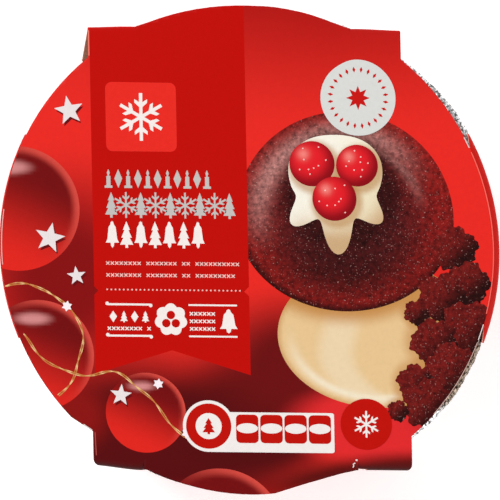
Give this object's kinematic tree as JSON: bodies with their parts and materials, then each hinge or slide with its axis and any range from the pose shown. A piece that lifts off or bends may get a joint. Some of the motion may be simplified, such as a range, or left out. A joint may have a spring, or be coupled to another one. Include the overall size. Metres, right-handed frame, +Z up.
{
  "type": "christmas pudding pack",
  "caption": "Shut retail pack of a christmas pudding: a round crimped foil dish held in a folded, printed paperboard sleeve with round wings, lying flat with its front up.",
  "frame": {"origin": "On the ground, below the middle of the pack's outer box", "axes": "+Z up out of the front panel, the pack's shortest extent; +Y towards the top of the print; +X towards the right wing"},
  "size_m": [0.173, 0.1688, 0.046],
  "materials": {
    "sleeve": "printed in reds, satin varnish outside and bare brown board inside",
    "foil_dish": "thin pressed foil, bright and crimped all round"
  },
  "bodies": {
    "root": {"sleeve": "sleeve", "foil_dish": "foil_dish"}
  },
  "joints": []
}
